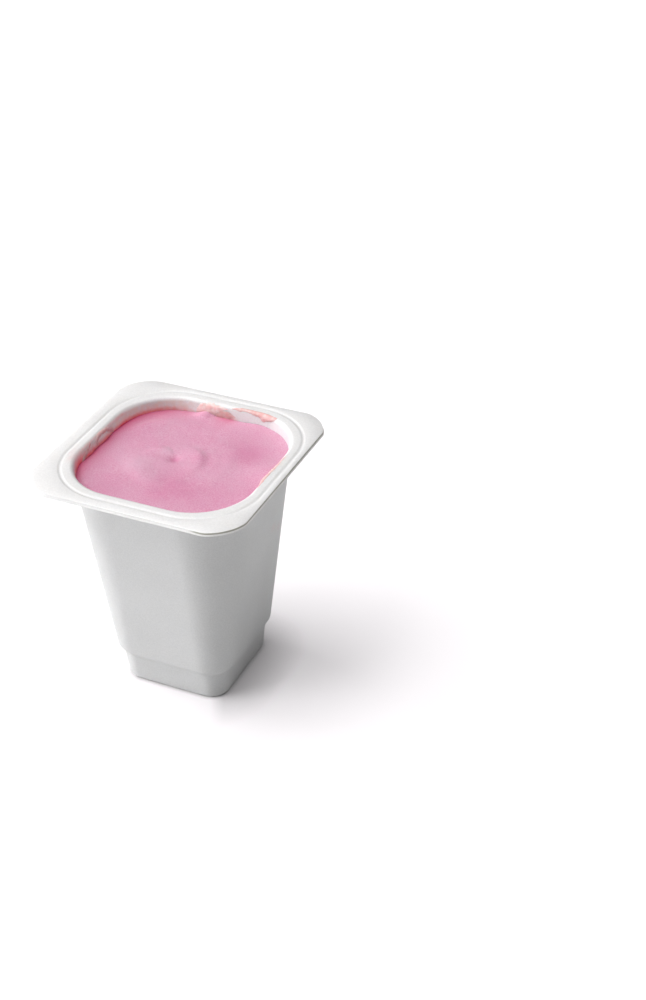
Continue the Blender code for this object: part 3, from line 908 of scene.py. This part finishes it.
# Each stroke: the way the wall faces, its tint from pale to salmon, then x, y, z, half width and thickness by
# point
BACK = (0.0, -1.0, 0.8)
LEFT = (1.0, 0.0, 0.8)
RIGHT = (-1.0, 0.0, 1.2)
smears = grown("yogurt_smears", smear_seed([
    (BACK, 0.6, [(2.6, 25.8, 67.8, 0.05, 0.03), (4.2, 25.9, 67.9, 0.4, 0.08), (6.7, 26.1, 68.1, 0.6, 0.12),
                 (9.0, 26.0, 68.1, 0.8, 0.14), (10.7, 25.9, 67.9, 1.15, 0.17), (12.7, 25.9, 67.8, 1.5, 0.22),
                 (14.5, 25.9, 67.8, 1.55, 0.26), (15.8, 25.9, 67.8, 1.15, 0.22),
                 (16.6, 25.9, 67.9, 0.05, 0.03)]),
    (BACK, 0.0, [(-8.2, 25.1, 64.9, 0.1, 0.03), (-7.0, 25.2, 65.7, 1.1, 0.14), (-5.2, 25.3, 66.3, 1.7, 0.2),
                 (-3.4, 25.4, 66.7, 1.6, 0.2), (-2.0, 25.4, 66.9, 1.2, 0.16), (-0.4, 25.5, 67.2, 0.6, 0.1),
                 (1.6, 25.5, 67.4, 0.05, 0.03)]),
    # The strip right of the blob: a film tinted salmon as the blob's painted shadow
    (BACK, 0.7, [(-3.6, 25.2, 65.2, 0.1, 0.03), (-2.0, 25.3, 65.5, 0.7, 0.12), (0.0, 25.3, 65.8, 0.8, 0.14),
                 (1.6, 25.3, 65.8, 0.7, 0.12), (3.0, 25.3, 65.6, 0.4, 0.08), (3.8, 25.3, 65.5, 0.05, 0.03)]),
    (LEFT, 0.3, [(-23.9, -1.0, 65.2, 0.1, 0.03), (-24.0, -1.6, 66.4, 0.5, 0.14),
                 (-24.2, -0.2, 67.4, 0.6, 0.18), (-24.2, 2.5, 67.5, 0.55, 0.18),
                 (-24.0, 4.8, 66.9, 0.6, 0.16), (-23.9, 6.3, 65.8, 0.5, 0.12),
                 (-23.8, 6.8, 64.9, 0.1, 0.03)]),
    (LEFT, 0.3, [(-24.4, -4.0, 68.0, 0.05, 0.03), (-24.1, -4.8, 67.4, 0.4, 0.12),
                 (-24.0, -5.8, 66.7, 0.5, 0.15), (-23.9, -7.6, 65.9, 0.5, 0.15),
                 (-23.8, -9.2, 65.2, 0.4, 0.12), (-23.8, -10.0, 64.8, 0.05, 0.03)]),
    (RIGHT, 0.35, [(27.2, 9.6, 68.2, 0.05, 0.04), (26.9, 7.5, 68.1, 0.35, 0.12), (26.7, 4.5, 68.1, 0.4, 0.15),
                   (26.4, 1.8, 68.0, 0.5, 0.25), (26.2, -0.8, 67.9, 0.6, 0.35), (26.1, -3.0, 67.9, 0.6, 0.4),
                   (26.3, -5.0, 68.0, 0.4, 0.2), (26.5, -7.5, 68.1, 0.05, 0.05)]),
]), smear_tree(), {
    "Pot": pot,
    "Step": 0.2 * MM,
    "Across": 20,
    "Raggedness": 1.6,
    "Sink": 0.05 * MM,
    "Ceiling": (HEIGHT - 0.01) * MM,
    "Cast from": 3.0 * MM,
    "Cast reach": 12.0 * MM,
    "Finish": thin_yogurt(),
})
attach(smears, "root")


# Floor, light and camera
# A plain white sweep. It bounces less light than it shows, as a sheet of paper on a darker table would, and
# glows a little, a painted light which keeps the shadow pale. The glow dies out in the crack under the pot
# and on the side away from the light, which paints the shadow there.

# The glow's strength, how far the pot shades it at its side and in the crack, and where the far side starts
FLOOR_GLOW, SHADE_REACH, CRACK_REACH, FAR_SIDE = 0.39, 14.0, 1.2, (5.5, 9.5)

floor_mesh = bpy.data.meshes.new("floor")
floor_mesh.from_pydata([(-4, -4, 0), (4, -4, 0), (4, 4, 0), (-4, 4, 0)], [], [(0, 1, 2, 3)])
floor = placed("floor", floor_mesh)
paper = bpy.data.materials.new("white_paper_sweep")
paper.use_nodes = True
tree = paper.node_tree
tree.nodes.remove(tree.nodes["Principled BSDF"])
shown = add(tree, "ShaderNodeBsdfDiffuse", {"Color": linear("d1ced0")}).outputs[0]
open_sky = add(tree, "ShaderNodeAmbientOcclusion", {"Distance": SHADE_REACH * MM}, samples=12).outputs["AO"]
closed = add(tree, MATH, {0: open_sky, 1: open_sky, 2: -1.0}, operation="MULTIPLY_ADD").outputs[0]
spot = add(tree, "ShaderNodeTexCoord").outputs["Object"]
across = add(tree, VECTOR, {0: spot, 1: (1.0, 0.5, 0.0)}, operation="DOT_PRODUCT").outputs["Value"]
# Painted shadow: the glow is cut by the pot's occlusion only on the side away from the light
far_side = add(tree, RANGE, {"Value": across, "From Min": FAR_SIDE[0] * MM,
                             "From Max": FAR_SIDE[1] * MM}).outputs[0]
share = add(tree, MATH, {0: far_side, 1: closed, 2: 1.0}, operation="MULTIPLY_ADD").outputs[0]
crack = add(tree, "ShaderNodeAmbientOcclusion", {"Distance": CRACK_REACH * MM}, samples=6).outputs["AO"]
reached = add(tree, MATH, {0: share, 1: crack}, operation="MULTIPLY").outputs[0]
glow = add(tree, MATH, {0: reached, 1: FLOOR_GLOW}, operation="MULTIPLY").outputs[0]
lit = add(tree, "ShaderNodeEmission", {"Color": linear("fffcfe"), "Strength": glow}).outputs[0]
seen = add(tree, "ShaderNodeAddShader", {0: shown, 1: lit}).outputs[0]
bounced = add(tree, "ShaderNodeBsdfDiffuse", {"Color": linear("dadada")}).outputs[0]
straight = add(tree, "ShaderNodeLightPath").outputs["Is Camera Ray"]
either = add(tree, "ShaderNodeMixShader", {0: straight, 1: bounced, 2: seen}).outputs[0]
tree.links.new(either, tree.nodes["Material Output"].inputs["Surface"])
floor_mesh.materials.append(paper)

# Soft lights as (name, elevation, azimuth, strength, angle): a low and a high one from the front left, one on
# the left, a broad weak one from the upper right, and two from above, one of which leans to the left
for name, elevation, azimuth, energy, angle in [
    ("low_front_left", 12.0, 213.0, 2.0, 34.0),
    ("left", 35.0, 180.0, 1.1, 30.0),
    ("high_right", 62.0, 350.0, 0.42, 50.0),
    ("high_front_left", 57.0, 225.0, 1.06, 30.0),
    ("top_left", 78.0, 180.0, 1.15, 30.0),
    ("top", 84.0, 20.0, 0.32, 60.0),
]:
    light = bpy.data.lights.new(name, "SUN")
    light.energy = energy
    light.angle = math.radians(angle)
    light_item = placed(name, light)
    rise = math.radians(elevation)
    turn = math.radians(azimuth)
    towards = Vector((math.cos(rise) * math.cos(turn), math.cos(rise) * math.sin(turn), math.sin(rise)))
    light_item.rotation_euler = towards.to_track_quat("Z", "Y").to_euler()

# The room: white to the eye, and almost no light of its own, also in reflections
world = bpy.data.worlds.new("studio")
bpy.context.scene.world = world
world.use_nodes = True
tree = world.node_tree
path = add(tree, "ShaderNodeLightPath").outputs
strength = add(tree, MATH, {0: path["Is Camera Ray"], 1: 0.04}, operation="MAXIMUM").outputs[0]
tree.links.new(strength, tree.nodes["Background"].inputs["Strength"])
tree.nodes["Background"].inputs["Color"].default_value = (1.0, 1.0, 1.0, 1.0)

bpy.context.scene.view_settings.view_transform = "Standard"
bpy.context.scene.view_settings.look = "None"

# The camera looks down on the front corner, with its place and axes fitted to the flange's outline
camera = bpy.data.cameras.new("camera")
camera.sensor_fit = "VERTICAL"
camera.sensor_height = 36.0
camera.lens = 62.157
camera_item = placed("camera", camera)
right = Vector((0.91235168, 0.40908413, -0.01626625))
up = Vector((-0.21432585, 0.51109338, 0.83237495))
back = Vector((0.34882494, -0.75593240, 0.55397415))
camera_item.matrix_world = Matrix.Translation((0.194332, -0.331836, 0.306934)) @ Matrix((
    (right.x, up.x, back.x, 0.0),
    (right.y, up.y, back.y, 0.0),
    (right.z, up.z, back.z, 0.0),
    (0.0, 0.0, 0.0, 1.0),
))
bpy.context.scene.camera = camera_item
